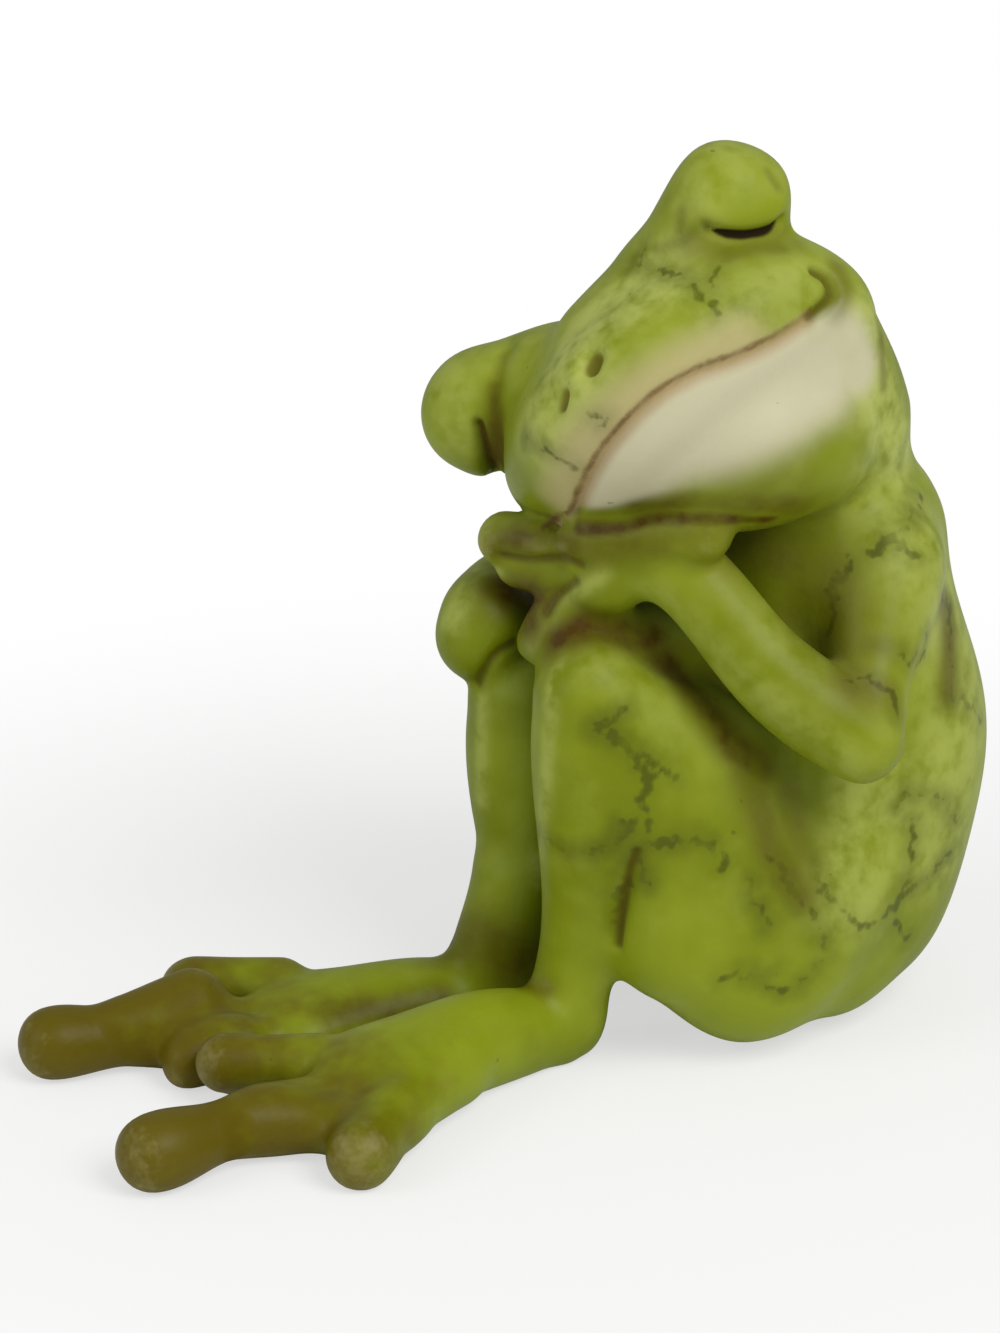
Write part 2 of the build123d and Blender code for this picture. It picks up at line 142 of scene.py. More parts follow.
def casting_field(name):
    """The distance field of one CAD node, in millimetres, below zero inside it."""
    mesh = nodes[name].data
    mesh.calc_loop_triangles()
    places = np.empty(len(mesh.vertices) * 3, np.float32)
    mesh.vertices.foreach_get("co", places)
    corners = np.empty(len(mesh.loop_triangles) * 3, np.int32)
    mesh.loop_triangles.foreach_get("vertices", corners)
    grid = openvdb.FloatGrid.createLevelSetFromPolygons(
        places.reshape(-1, 3) / np.float32(MM),
        triangles=corners.reshape(-1, 3).astype(np.uint32),
        transform=to_grid,
        halfWidth=BAND / VOXEL,
    )
    field = np.empty(grid_shape, np.float32)
    grid.copyToArray(field, ijk=grid_corner)
    return field


def softened(field, radius):
    """A casting's field, blurred only where the casting is, because elsewhere it is even."""
    inside = np.argwhere(field < BAND)
    low, high = inside.min(0), inside.max(0) + 1
    window = tuple(slice(a, b) for a, b in zip(low, high))
    result = field.copy()
    result[window] = blurred(field[window], radius)
    return result


raw = {name: casting_field(name) for name in ("torso_shell", "head", "base_plug")}
SOFTNESS = {  # millimetres
    "left_arm": 0.8, "right_arm": 0.8, "left_leg": 1.4, "right_leg": 1.4, "left_foot": 1.0, "right_foot": 1.0,
}
limbs = {name: softened(casting_field(name), radius) for name, radius in SOFTNESS.items()}
print("grid of", grid_shape, "at", VOXEL, "mm")

# %% [markdown]
# ## Filling the seams
# On the bench the head is glued to the flat top of the body and the limbs to its sides, then every seam is
# filled and rubbed smooth. Where two forms only touch, as the chin does on the hands, the line stays sharp.
# So the filling is wide round each dowel and thins out to almost nothing away from it.

# %% Melt each limb in at its dowel
NECK_FILLING = 3.0
NECK_SOFTNESS = 1.6
PLUG_FILLING = 1.6
TOUCH_FILLING = 1.2
LIMB_FILLINGS = [  # limb, the dowel that holds it, the filling there and how far it reaches
    ("left_leg", "left_hip_pin", 6.0, 42.0),
    ("right_leg", "right_hip_pin", 6.0, 42.0),
    ("left_foot", "left_ankle_pin", 3.6, 20.0),
    ("right_foot", "right_ankle_pin", 3.6, 20.0),
    ("left_arm", "left_shoulder_pin", 9.0, 42.0),
    ("right_arm", "right_shoulder_pin", 9.0, 42.0),
]


def melted(a, b, filling):
    """Two fields joined, with the corner between them filled over a width in millimetres."""
    share = np.clip(0.5 + 0.5 * (b - a) / filling, 0, 1)
    return b + (a - b) * share - filling * share * (1 - share)


def eased(value, low, high):
    """A smooth step from 0 at low to 1 at high."""
    share = np.clip((value - low) / (high - low), 0, 1)
    return share * share * (3 - 2 * share)


def far_from(place):
    """How far each point of the grid is from a place."""
    x, y, z = [(axis - spot) ** 2 for axis, spot in zip(grid_axes, place)]
    return np.sqrt(x[:, None, None] + y[:, None] + z)


body = melted(raw["torso_shell"], raw["base_plug"], PLUG_FILLING)
clay = blurred(melted(body, raw["head"], NECK_FILLING), NECK_SOFTNESS)
for limb, dowel, filling, reach in LIMB_FILLINGS:
    away = far_from(np.mean(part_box(dowel), axis=0) / MM)
    width = filling + (TOUCH_FILLING - filling) * eased(away, 0.45 * reach, reach)
    clay = melted(limbs[limb], clay, width)
solid = dict(limbs, torso_shell=body, head=raw["head"])
print("clay from", len(solid), "castings")

# %% [markdown]
# ## Putty
# Some forms are too soft to be worth a casting's drawing: the swell behind the corner of the mouth, the
# inside of the thigh, the web between two toes. A modeller rolls a bit of putty, lays it on and smooths it
# in. Each roll here is a round cone between two places in millimetres, melted into the clay.

# %% Lay on rolls of putty
PUTTY = [  # two ends, their two radii and the width of the blend
    ((17.1, -9.8, 121.0), (8.0, -6.0, 104.0), 8.0, 13.4, 8.0),  # behind the left corner of the mouth
    ((-0.3, -35.4, 114.5), (0.1, -28.3, 121.5), 9.0, 9.0, 6.0),  # crown between the eyes
    ((-22.9, -49.3, 99.9), (-22.6, -48.9, 100.4), 9.3, 9.3, 3.0),  # right eye
    ((7.0, -46.0, 87.0), (21.0, -31.5, 90.0), 3.6, 4.2, 3.0),  # back of the left hand, under the chin
    ((-6.3, -52.8, 84.0), (0.0, -49.0, 84.5), 4.0, 3.6, 2.0),  # tip of the upper finger
    ((-13.3, -53.3, 65.3), (-13.5, -52.0, 68.0), 7.0, 7.0, 3.0),  # heel of the right hand
    ((5.0, -45.0, 68.5), (4.0, -22.0, 64.5), 7.0, 10.0, 3.0),  # inside of the left thigh
    ((18.5, -35.0, 20.5), (17.2, -21.3, 13.5), 8.0, 8.7, 8.0),  # underside of the left thigh
    ((17.2, -21.3, 13.5), (15.2, -5.1, 11.5), 8.7, 8.7, 8.0),  # seat
    ((-8.7, -49.3, 24.0), (-9.0, -54.5, 12.0), 7.0, 6.0, 4.0),  # front of the right ankle
    ((20.0, -107.0, 5.0), (25.5, -95.5, 5.0), 4.0, 4.3, 5.0),  # web of the left foot
    ((-17.0, -110.0, 5.0), (-8.0, -101.0, 5.0), 4.0, 4.0, 5.0),  # web of the right foot
    ((35.6, -95.9, 5.3), (27.5, -86.5, 6.0), 5.1, 4.5, 2.0),  # left outer toe
    ((27.5, -86.5, 6.0), (19.0, -74.0, 7.0), 4.5, 5.5, 4.0),  # its root
    ((2.6, -105.0, 7.4), (8.5, -92.0, 7.5), 4.8, 4.6, 1.5),  # left inner toe
    ((-18.0, -114.0, 7.2), (-18.5, -103.0, 8.0), 5.2, 6.0, 3.0),  # back of the right middle toe
    ((-29.4, -98.2, 5.5), (-22.0, -86.0, 6.5), 5.1, 4.8, 2.0),  # right outer toe
]


def roll(start, end, start_radius, end_radius):
    """The distance field of a round cone, and the part of the grid that it reaches."""
    start, end = np.array(start), np.array(end)
    reach = max(start_radius, end_radius) + BAND
    low = np.minimum(start, end) - reach
    high = np.maximum(start, end) + reach
    window = tuple(slice(*np.searchsorted(axis, (a, b))) for axis, a, b in zip(grid_axes, low, high))
    x, y, z = np.meshgrid(*[axis[part] for axis, part in zip(grid_axes, window)], indexing="ij")
    run = end - start
    along = sum((c - s) * r for c, s, r in zip((x, y, z), start, run))
    way = np.clip(along / (run @ run), 0, 1)
    away = np.sqrt(sum((c - s - way * r) ** 2 for c, s, r in zip((x, y, z), start, run)))
    return window, away - (start_radius + way * (end_radius - start_radius))


for start, end, start_radius, end_radius, blend in PUTTY:
    window, cone = roll(start, end, start_radius, end_radius)
    clay[window] = melted(clay[window], cone.astype(np.float32), blend)
clay = np.maximum(clay, -grid_axes[2])  # the soles are rubbed flat on the bench
print(len(PUTTY), "rolls of putty")

# %% [markdown]
# ## One skin
# The level of distance zero is turned into a mesh of even quads, which takes brush strokes well. The mould's
# hollow inside the body and the sockets round the dowels come out as loose shells. Only the outer skin stays.

# %% Wrap the clay in quads
def outer_shell(points, quads):
    """The points and quads of the shell with the most points."""
    label = np.arange(len(points))
    pairs = np.concatenate([quads[:, [0, 1]], quads[:, [1, 2]], quads[:, [2, 3]], quads[:, [3, 0]]])
    changed = True
    while changed:
        lowest = np.minimum(label[pairs[:, 0]], label[pairs[:, 1]])
        before = label.copy()
        np.minimum.at(label, pairs[:, 0], lowest)
        np.minimum.at(label, pairs[:, 1], lowest)
        label = label[label]
        changed = bool((label != before).any())
    keep = label == np.bincount(label).argmax()
    renumbered = np.cumsum(keep) - 1
    return points[keep], renumbered[quads[keep[quads[:, 0]]]]


def quad_mesh(name, points, quads):
    """A smooth-shaded mesh from points in millimetres and quads."""
    mesh = bpy.data.meshes.new(name)
    mesh.from_pydata((points * MM).tolist(), [], quads.tolist())
    mesh.shade_smooth()
    return mesh


def skin_normals(points, quads):
    """The outward direction at each point of a skin."""
    diagonals = np.cross(points[quads[:, 2]] - points[quads[:, 0]], points[quads[:, 3]] - points[quads[:, 1]])
    normals = np.zeros_like(points)
    for corner in range(4):
        np.add.at(normals, quads[:, corner], diagonals)
    return normals / np.linalg.norm(normals, axis=1, keepdims=True)


clay_grid = openvdb.FloatGrid(BAND)
clay_grid.copyFromArray(clay, ijk=grid_corner)
clay_grid.transform = to_grid
skin, quads = outer_shell(*clay_grid.convertToQuads())
skin = skin.astype(float)
normals = skin_normals(skin, quads)
print("skin of", len(skin), "points and", len(quads), "quads")

# %% [markdown]
# ## Landing strokes on the skin
# A modeller's tool follows a line on the surface. Each line here is a few pixels of the photograph, joined
# by a smooth curve and cast along the camera's rays onto the skin. The face is the same on both sides of the
# head, so a stroke on its left can be mirrored in the head's own frame.

# %% Read paths off the photograph
tree = BVHTree.FromPolygons(skin.tolist(), quads.tolist())


def curve(corners):
    """A smooth curve through corner points, as closely spaced points."""
    corners = np.asarray(corners, float)
    padded = np.concatenate([2 * corners[:1] - corners[1:2], corners, 2 * corners[-1:] - corners[-2:-1]])
    found = []
    for before, start, end, after in zip(padded, padded[1:], padded[2:], padded[3:]):
        for t in np.linspace(0, 1, 9)[:-1]:
            linear = start * 2 + (end - before) * t
            bend = (2 * before - 5 * start + 4 * end - after) * t ** 2
            twist = (3 * start - before - 3 * end + after) * t ** 3
            found.append((linear + bend + twist) / 2)
    return np.array(found + [corners[-1]])


def cast(pixels):
    """The points on the skin that lie under a line of photograph pixels."""
    hits = []
    for pixel in curve(pixels):
        way = Vector(pixel_ray(pixel)).normalized()
        hit = tree.ray_cast(Vector(lens_point), way)[0]
        if hit is not None:
            hits.append(hit)
    return np.array(hits)


HEAD_CENTRE = np.array((2.7, -30.0, 109.2))
HEAD_TURN = math.radians(40.5)  # looks towards its left
HEAD_TIP = math.radians(43)  # leans over towards its right
head_front = np.array((math.sin(HEAD_TURN), -math.cos(HEAD_TURN), 0.0))
level_left = np.array((math.cos(HEAD_TURN), math.sin(HEAD_TURN), 0.0))
head_left = level_left * math.cos(HEAD_TIP) + np.array((0.0, 0.0, 1.0)) * math.sin(HEAD_TIP)
head_up = np.cross(head_front, head_left)


def head_path(places):
    """Places across, forward and up in the head's own frame, laid on the skin."""
    points = curve(HEAD_CENTRE + np.array(places) @ np.array((head_left, head_front, head_up)))
    return np.array([tree.find_nearest(Vector(point))[0] for point in points])


def mirrored(path):
    """The same path on the other side of the head, laid on the skin."""
    across = (path - HEAD_CENTRE) @ head_left
    flipped = path - 2 * across[:, None] * head_left
    return np.array([tree.find_nearest(Vector(point))[0] for point in flipped])


FAR = 30.0  # millimetres, beyond which a distance to a path doesn't matter


def distance_to(path, points):
    """How far each point is from a path of straight runs."""
    nearest = np.full(len(points), FAR)
    near = np.flatnonzero(((points > path.min(0) - FAR) & (points < path.max(0) + FAR)).all(1))
    close = points[near]
    for start, end in zip(path, path[1:]):
        run = end - start
        way = np.clip((close - start) @ run / max(run @ run, 1e-9), 0, 1)
        away = np.linalg.norm(close - start - way[:, None] * run, axis=1)
        nearest[near] = np.minimum(nearest[near], away)
    return nearest


MOUTH_PIXELS = [
    (817, 270), (830, 281), (830, 298), (808, 321), (772, 344), (735, 361),
    (694, 376), (655, 400), (622, 432), (600, 461), (585, 490), (579, 508),
]
MOUTH_FAR_SIDE = [(-14, 19.5, -7.6), (-19, 15, -8.4), (-24, 8.5, -9), (-27, 1, -8.6)]  # head frame
lips = np.concatenate([cast(MOUTH_PIXELS[3:]), head_path(MOUTH_FAR_SIDE)])
mouth = np.concatenate([cast(MOUTH_PIXELS[:4]), lips])
print("mouth of", len(mouth), "points")

# %% [markdown]
# ## The face
# The mouth is one long soft groove, the eyes are shut and show only a crescent line under a round lid, and
# two small nostrils are pressed in above the lip. A groove pushes the skin in by a bell-shaped amount across
# its width, which is what a round modelling tool leaves in clay.

# %% Model the face
def press(path, width, depth):
    """Press a round-bottomed groove along a path, or raise a ridge with a depth below zero."""
    global skin
    skin = skin - normals * (depth * np.exp(-((distance_to(path, skin) / width) ** 2)))[:, None]


LEFT_LID_PIXELS = [(706, 227), (718, 232), (740, 235), (762, 232), (774, 227), (781, 220)]
LID_SWELL_PIXELS = [(706, 212), (724, 220), (745, 222), (766, 217), (779, 208)]
FOLD_PIXELS = [
    [(656, 250), (690, 236), (703, 226)],  # left of the lid
    [(728, 256), (753, 248), (782, 247)],  # under the lid
    [(678, 232), (680, 212)],
    [(770, 172), (778, 186)],
]
EYE_CREASE_PIXELS = [(500, 352), (495, 372), (491, 400), (491, 430), (495, 464)]  # beside the right eye
NOSTRIL_PIXELS = [[(593, 359), (590, 367)], [(561, 396), (559, 404)]]
CORNER_PIXELS = [(815, 268), (826, 275), (832, 287), (829, 299), (812, 317)]
lids = [cast(LEFT_LID_PIXELS)]
lids.append(mirrored(lids[0]))
swell = cast(LID_SWELL_PIXELS)
folds = [cast(pixels) for pixels in FOLD_PIXELS]
eye_crease = cast(EYE_CREASE_PIXELS)
nostrils = [cast(pixels) for pixels in NOSTRIL_PIXELS]
mouth_corner = cast(CORNER_PIXELS)

flat = skin.copy()  # the painter's guides are measured here, before the tools press the skin in
press(eye_crease, 2.4, 1.2)
press(swell, 2.6, -0.5)
press(mirrored(swell), 2.6, -0.5)
press(mouth, 1.0, 0.85)
press(mouth_corner, 1.3, 0.9)
for lid in lids:
    press(lid, 0.85, 1.5)
for fold in folds:
    press(fold, 1.4, 0.3)
for nostril in nostrils:
    press(nostril, 1.6, 1.7)
normals = skin_normals(skin, quads)
print("face: mouth, closed eyes, folds and nostrils")

# %% [markdown]
# ## Hands and toes
# The frog's toes end in round pads with a slimmer neck behind each, and creases part the fingers and the
# calf from the thigh. A neck is pressed in all round the toe from a point on its axis, as if it were rolled
# between fingers.

# %% Part the fingers and thin the toes
TOE_NECKS = [  # a point on the toe's axis, the width of the neck and its depth
    ((21.5, -113.0, 6.0), 8.0, 2.4),  # left middle
    ((-17.0, -116.5, 6.3), 8.0, 2.0),  # right middle
    ((5.0, -99.0, 7.0), 5.0, 0.9),  # left inner
]
CREASE_PIXELS = [
    [(502, 557), (530, 561), (560, 559), (580, 566)],
    [(545, 612), (556, 596), (575, 582)],
    [(476, 684), (496, 655), (516, 642)],
    [(637, 852), (629, 872), (625, 895), (620, 920), (617, 945)],
]
for place, width, depth in TOE_NECKS:
    press(np.array([place, place]), width, depth)
creases = [cast(pixels) for pixels in CREASE_PIXELS]
for crease in creases:
    press(crease, 1.2, 0.8)
normals = skin_normals(skin, quads)
print(len(TOE_NECKS), "toe necks and", len(creases), "creases")

# %% [markdown]
# ## Where the paint goes
# The painter works with airbrushes, a brown wash that stays in the hollows, and a fine brush; the hollows
# also get painted shade. Each of these is stored on the skin as a number per point, and the material turns
# the numbers into colour. An image could hold them too, but points need no unwrapping. First come the
# hollows, and whose casting each point is on.

# %% Measure the hollows
def sample(field, points):
    """A grid's values between its points."""
    place = points / VOXEL - grid_low
    cell = np.floor(place).astype(int)
    cell = np.clip(cell, 0, np.array(field.shape) - 2)
    part = place - cell
    total = np.zeros(len(points))
    for corner in np.ndindex(2, 2, 2):
        weight = np.prod(np.where(corner, part, 1 - part), axis=1)
        total += weight * field[tuple((cell + corner).T)]
    return total


HOLLOW_REACH = 3.0  # millimetres
hollow = -sample(blurred(clay, HOLLOW_REACH), skin) / HOLLOW_REACH

names = sorted(solid)
belongs = np.argmin([sample(solid[name], skin) for name in names], axis=0)
on_head = np.isin(belongs, [names.index("head"), names.index("torso_shell")])
on_feet = np.isin(belongs, [names.index("left_foot"), names.index("right_foot")])
guides = {"hollow": hollow}
print("hollows from", hollow.min().round(2), "to", hollow.max().round(2))

# %% [markdown]
# ## Cream on the throat
# Below the mouth the frog is sprayed cream, and the mist stops at the lip, because the painter holds a mask
# there. An airbrush leaves full paint along the middle of its stroke and a mist that thins like a bell curve.
# The throat is sprayed alike on both sides. Where the chin rests on the hands the cream is left out, which
# keeps a painted shade there.

# %% Spray the throat and the lip
def airbrush(strokes, laid=cast):
    """How much paint soft strokes leave: each has pixels, the width of its core and the reach of its mist."""
    cover = np.zeros(len(skin))
    for pixels, core, reach, strength in strokes:
        outside = np.maximum(distance_to(laid(pixels), flat) - core, 0)
        cover = np.maximum(cover, strength * np.exp(-((2 * outside / (reach - core)) ** 2)))
    return cover


CREAM_STROKES = [
    ([(592, 495), (640, 445), (700, 408), (770, 372)], 5.5, 17.0, 1.0),
    ([(690, 440), (750, 415), (815, 375)], 3.0, 14.0, 0.9),
    ([(800, 365), (835, 340), (855, 365)], 2.0, 10.0, 0.8),
]
LIP_PIXELS = [(575, 505), (590, 459), (622, 425), (655, 398), (690, 376), (740, 356)]
CHIN_REST_PIXELS = [(570, 526), (624, 527), (660, 519), (770, 520)]


def cast_mirrored(pixels):
    """The path under some pixels, on the other side of the head."""
    return mirrored(cast(pixels))


nearest = lips[np.argmin([((flat - spot) ** 2).sum(1) for spot in lips], axis=0)]
below = -((flat - nearest) @ head_up)
lip_away = distance_to(cast(LIP_PIXELS), flat)
rest_away = distance_to(cast(CHIN_REST_PIXELS), flat)
throat = np.maximum(airbrush(CREAM_STROKES), airbrush(CREAM_STROKES, cast_mirrored))
# no cream along the chin's rest on the hands: painted shade there
guides["cream"] = throat * eased(below, -0.4, 0.6) * eased(rest_away, 1.5, 7.0) * on_head
guides["lip"] = (1 - eased(lip_away, 2.0, 9.0)) * eased(-below, -0.6, 0.4) * on_head
print("cream on", int((guides["cream"] > 0.5).sum()), "points")

# %% [markdown]
# ## Light green as painted highlight
# A lighter green is painted where light falls, as painted highlight: on what faces up, along the raised forms
# and on their lit edges, which makes them look rounder. On the upper finger it is partly pale wear.

# %% Paint the highlights in light green
PAINTED_HIGHLIGHT_STROKES = [
    ([(548, 420), (590, 330), (650, 285)], 4.0, 15.0, 0.85),  # snout and forehead
    ([(735, 310), (800, 290)], 3.0, 13.0, 0.45),  # cheek
    ([(695, 195), (725, 150)], 2.0, 10.0, 0.4),  # left eye
    ([(445, 375), (455, 435)], 2.0, 9.0, 0.4),  # right eye
    ([(880, 470), (930, 560), (962, 700), (940, 840)], 4.0, 20.0, 0.5),  # back
    ([(850, 890), (880, 800)], 4.0, 16.0, 0.5),  # flank
    ([(862, 330), (885, 420), (900, 460)], 2.0, 12.0, 0.8),  # neck
    ([(563, 655), (551, 690), (548, 740), (538, 880)], 0.2, 3.4, 0.6),  # painted highlight along the edge of the left knee and shank
    ([(482, 700), (480, 800)], 0.2, 3.4, 0.5),  # edge of the right shank
    ([(660, 600), (740, 680), (840, 760)], 1.0, 8.0, 0.3),  # forearm
    ([(448, 625), (474, 572)], 0.5, 6.0, 0.6),  # right hand
    ([(604, 574), (562, 603), (530, 645)], 0.1, 3.0, 0.6),  # lower finger
    ([(526, 543), (545, 548), (562, 546)], 0.1, 1.5, 1.0),  # pale wear and painted highlight on the upper finger
    ([(482, 574), (500, 572)], 0.1, 2.0, 0.7),  # knuckle of the right hand
    ([(130, 1125), (170, 1140)], 0.5, 6.0, 0.35),  # left middle toe
]
TOP_PAINTED_LIGHT = 0.3  # painted light from above: what faces up gets more of the light green
painted_top_light = TOP_PAINTED_LIGHT * eased(normals[:, 2], 0.0, 0.9) * ~on_feet
guides["light"] = np.maximum(airbrush(PAINTED_HIGHLIGHT_STROKES), painted_top_light)
print(len(PAINTED_HIGHLIGHT_STROKES), "strokes of light green")

# %% [markdown]
# ## Brown wash and painted shade
# Thin brown paint is brushed on and wiped off, so it stays between the limbs, under the chin and on the toes.
# The same strokes also paint shade under the chin and the hands, between the limbs and in the creases.
# Where it pools is read off the photograph, one soft stroke for each place.

# %% Lay on the wash and the painted shade
# Most of these strokes are painted shade: under the chin and hands, between the limbs and in the creases. The
# stain on the throat and the flank are brown wash.
WASH_AND_SHADE_STROKES = [
    ([(735, 525), (790, 565), (835, 640)], 2.0, 20.0, 0.5),  # chest under the chin
    ([(744, 772), (756, 800), (770, 842), (800, 895)], 0.5, 7.0, 0.5),  # behind the thigh
    ([(942, 600), (949, 640), (948, 690)], 0.5, 7.0, 0.6),  # behind the arm
    ([(838, 640), (850, 690), (880, 690)], 0.5, 9.0, 0.5),  # inside the elbow
    ([(440, 940), (480, 940), (515, 960)], 1.0, 10.0, 0.6),  # right ankle
    ([(580, 529), (624, 528), (660, 519), (770, 520)], 0.2, 3.0, 1.0),  # where the chin rests
    ([(496, 545), (530, 540), (570, 546)], 0.5, 7.0, 0.75),  # upper finger
    ([(590, 548), (650, 540), (720, 528)], 0.2, 9.0, 0.55),  # back of the left hand
    ([(505, 590), (536, 595), (530, 618)], 0.5, 9.0, 1.0),  # between the hands
    ([(556, 640), (590, 630), (650, 640)], 0.5, 7.0, 1.0),  # under the lower finger
    ([(652, 650), (690, 690), (735, 745), (760, 765)], 0.5, 7.0, 0.85),  # between thigh and forearm
    ([(492, 385), (490, 430), (493, 462)], 0.0, 3.0, 0.85),  # beside the right eye
    ([(525, 985), (545, 990)], 0.2, 4.0, 0.8),  # in front of the ankle
    ([(330, 1010), (400, 1008), (440, 998)], 0.5, 6.0, 0.7),  # edge of the right foot
    ([(881, 337), (884, 386)], 0.2, 2.6, 0.5),  # stain on the throat
    ([(786, 800), (800, 850)], 0.5, 7.0, 0.4),  # flank
    ([(690, 245), (750, 243), (790, 240)], 0.5, 6.0, 0.35),  # under the left lid
    ([(838, 268), (845, 290), (836, 312)], 0.2, 4.0, 0.5),  # behind the corner of the mouth
    ([(640, 505), (720, 502), (800, 508)], 0.5, 6.0, 0.6),  # lower edge of the throat
]
TOE_PAINT_START, TOE_PAINT_FULL = 58, 120  # millimetres in front of the body
guides["wash"] = airbrush(WASH_AND_SHADE_STROKES)
guides["toe"] = on_feet * eased(-skin[:, 1], TOE_PAINT_START, TOE_PAINT_FULL)
print(len(WASH_AND_SHADE_STROKES), "strokes of wash")

# %% [markdown]
# ## Veins
# A fine brush draws dark veins that branch like the cracks in marble. On the side in the photograph they
# follow its lines, with a small stray at each point, like a hand's. The right side and the back aren't seen,
# so there a free pattern of cell edges takes over, and this guide says where.

# %% Draw the veins
VEIN_PIXELS = [
    # face
    [(721, 260), (714, 284), (714, 318)],
    [(636, 265), (665, 272), (690, 282), (704, 301)],
    [(636, 265), (646, 248)],
    [(525, 439), (551, 454), (572, 470)],
    [(583, 410), (600, 417), (612, 426)],
    # left thigh and shank
    [(591, 731), (610, 734), (626, 746), (638, 760), (647, 774), (649, 786), (636, 800)],
    [(638, 757), (654, 762), (666, 772), (678, 774)],
    [(593, 724), (610, 722), (624, 708)],
    [(647, 807), (650, 833)],
    [(539, 835), (551, 845), (567, 849), (586, 854), (605, 849), (617, 840), (626, 826), (636, 819)],
    [(638, 849), (631, 864), (626, 880), (619, 901), (614, 925)],
    [(640, 864), (649, 885)],
    [(652, 847), (671, 842), (690, 842), (706, 843), (716, 854), (728, 859), (721, 868)],
    [(746, 880), (756, 901), (768, 925)],
    [(721, 979), (739, 972), (756, 977), (780, 974)],
    # left side of the body
    [(922, 496), (912, 509), (912, 523), (894, 537), (870, 551)],
    [(884, 540), (905, 545), (915, 558)],
    [(849, 565), (835, 582), (833, 600), (831, 631)],
    [(926, 631), (924, 656), (912, 659), (880, 645)],
    [(940, 593), (947, 607), (950, 635), (950, 666), (952, 695), (968, 705), (982, 726)],
    [(845, 680), (873, 680), (891, 691), (898, 716)],
    [(894, 807), (905, 796), (936, 796), (950, 810), (957, 824)],
    [(912, 821), (912, 849), (908, 877), (901, 898), (894, 909)],
    [(950, 852), (929, 877), (908, 891), (891, 909), (863, 926), (842, 909), (821, 891), (817, 863)],
    [(894, 923), (912, 937)],
    [(768, 852), (793, 891), (814, 916), (824, 940), (810, 972), (786, 989), (740, 972)],
]
WAVER = 0.5  # millimetres that the brush strays to each side
hand = np.random.default_rng(7)  # the painter's hand, the same each time


def wavering(path):
    """A brush line that strays a little from its path."""
    return path + hand.normal(0, WAVER, path.shape)


def away_from(paths):
    """How far each point of the skin was from the nearest of some paths."""
    return np.min([distance_to(path, flat) for path in paths], axis=0)


guides["vein_away"] = away_from([wavering(cast(pixels)) for pixels in VEIN_PIXELS])
head_place = flat - HEAD_CENTRE
behind_head = eased(-(head_place @ head_front), 0, 10) * eased(-(head_place @ head_left), -4, 4)
far_side = eased(0.4 * (flat[:, 1] - 5) - 0.85 * flat[:, 0], 0, 10)
guides["free"] = np.where(belongs == names.index("head"), behind_head, far_side)
print(len(VEIN_PIXELS), "veins drawn")

# %% [markdown]
# ## Lines of the face
# The mouth gets a tan line with a brown upper edge and the shut eye a dark crescent that runs out to points;
# the nostrils, folds and creases get a touch of brown that is painted shade. For these the guide is the
# distance from the line, so that the material can draw an edge sharper than the points lie apart.

# %% Measure the lines of the face
NEAR_MOUTH = 2.6
LIP_EDGE = 0.9  # the fine brown line lies this far above the middle of the mouth
CHIN_FADE = 3.0  # the tan line is pushed away by this much where the chin rests
LID_POINT = 0.5  # how much the crescent thins at its ends
mouth_away = distance_to(lips, flat)
chin_shade = 1 - eased(rest_away, 0.5, 5.0)
lid_middle = lids[0][len(lids[0]) // 2]
lid_half = np.linalg.norm(lids[0][-1] - lids[0][0]) / 2
lid_end = np.clip(np.linalg.norm(flat - lid_middle, axis=1) / lid_half, 0, 1.5) ** 4
guides["lip_edge_away"] = np.where(mouth_away < NEAR_MOUTH, np.abs(below + LIP_EDGE), NEAR_MOUTH)
guides["mouth_away"] = np.where(on_head, mouth_away + CHIN_FADE * chin_shade, FAR)
guides["lid_away"] = away_from(lids[:1]) + LID_POINT * lid_end
guides["nostril_away"] = away_from(nostrils)
guides["fold_away"] = away_from(folds)
guides["crease_away"] = away_from(creases + [mouth_corner, lids[1]])
print("guides", {name: (values.min().round(2), values.max().round(2)) for name, values in guides.items()})

# %% [markdown]
# ## Back to castings
# A stranger who takes this part wants the head, arms and feet as separate pieces. Every quad goes to the
# casting it lies nearest to. Each open edge is turned in and capped below the skin, where the glue is, so
# nothing of it shows. The normals come from the whole skin, so the filled seams stay invisible.

# %% Cut the skin into its castings
SLOTS = dict.fromkeys(solid, "painted_resin")
SLOTS["left_foot"] = SLOTS["right_foot"] = "foot_resin"
owner = np.argmin([sample(solid[name], skin[quads].mean(axis=1)) for name in names], axis=0)
SEAM_DEPTH = 1.2  # millimetres that an open edge is turned in


